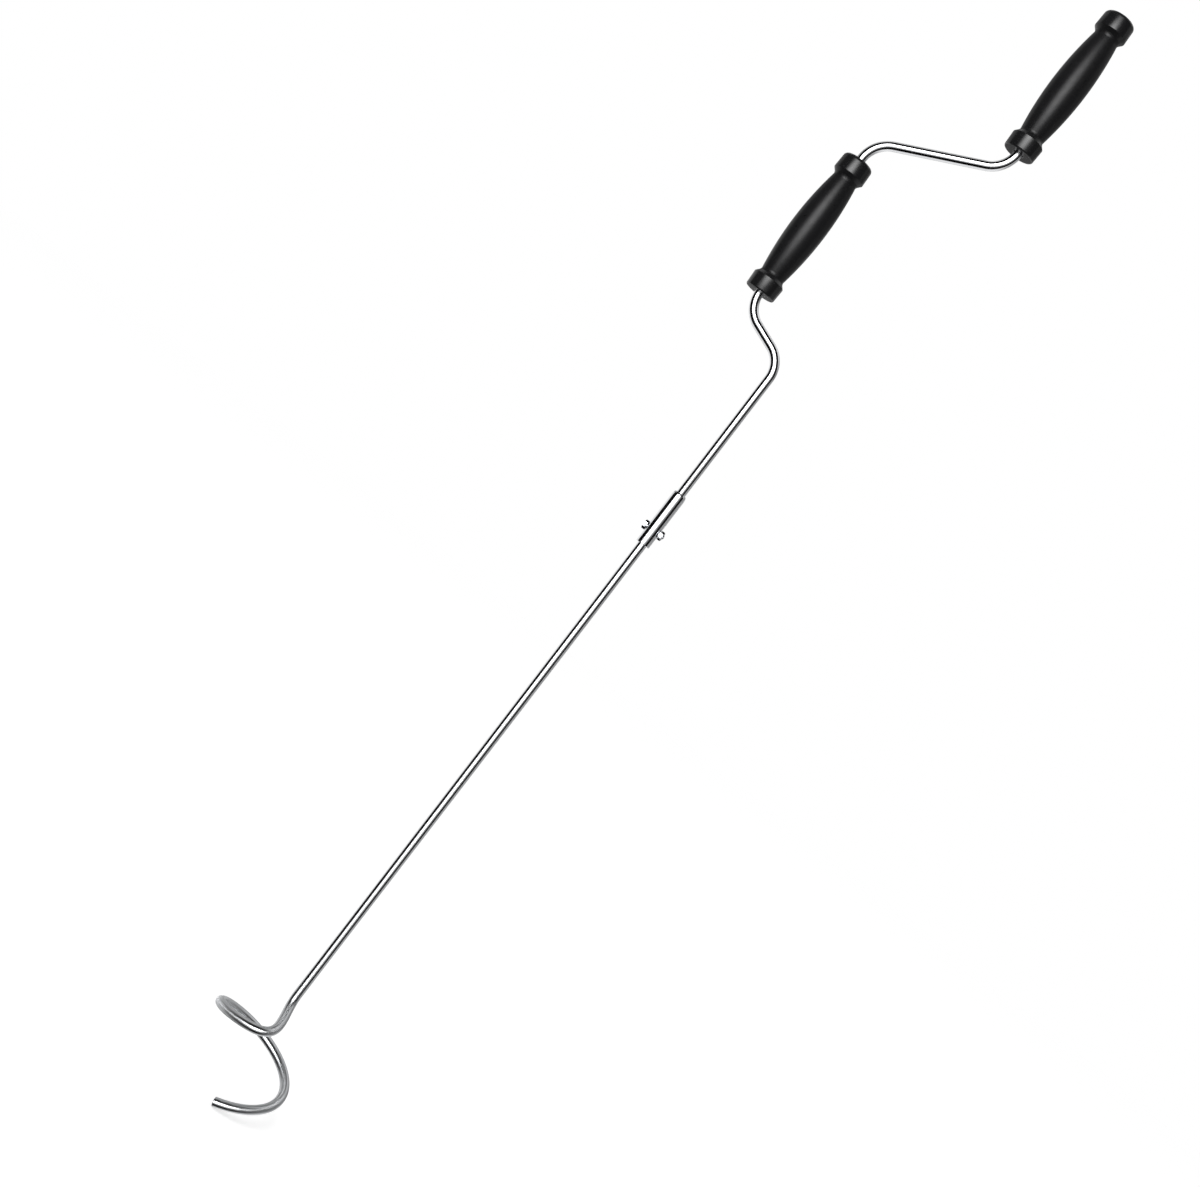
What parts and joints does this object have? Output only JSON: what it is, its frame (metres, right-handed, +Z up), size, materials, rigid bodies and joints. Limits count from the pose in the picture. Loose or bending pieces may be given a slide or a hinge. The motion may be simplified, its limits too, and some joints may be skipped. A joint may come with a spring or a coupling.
{
  "type": "compost aerator",
  "caption": "Hand-cranked compost aerator: a bent steel bar with a corkscrew foot, a bolted sleeve joint, and a double crank with free-spinning black grips.",
  "frame": {"origin": "on the shaft's axis, level with the lowest point of the corkscrew, where the compost holds the tool up", "axes": "+Z up along the shaft towards the grips, the crank in the XZ plane with the upper grip at +X and the lower grip at -X"},
  "size_m": [0.1266, 0.099, 1.1034],
  "materials": {
    "chromed_steel": "bright chrome plating on drawn round bar and tube",
    "zinc_plated_steel": "bright zinc plating",
    "grip_plastic": "moulded black, satin on the barrel and smoother on the collars"
  },
  "bodies": {
    "tool": {"auger_rod": "chromed_steel", "coupling_sleeve": "chromed_steel", "coupling_bolt": "zinc_plated_steel", "coupling_nut": "zinc_plated_steel", "crank_rod": "chromed_steel", "thrust_washer": "zinc_plated_steel", "push_cap": "zinc_plated_steel"},
    "lower_grip": {"lower_grip": "grip_plastic"},
    "upper_grip": {"upper_grip": "grip_plastic"}
  },
  "joints": [
    {"name": "lower_grip_spin", "type": "hinge", "parent": "tool", "child": "lower_grip", "pos_m": [-0.04875, 0, 0.83485], "axis": [0, 0, 1], "continuous": true},
    {"name": "upper_grip_spin", "type": "hinge", "parent": "tool", "child": "upper_grip", "pos_m": [0.04875, 0, 1.0387], "axis": [0, 0, 1], "continuous": true}
  ]
}
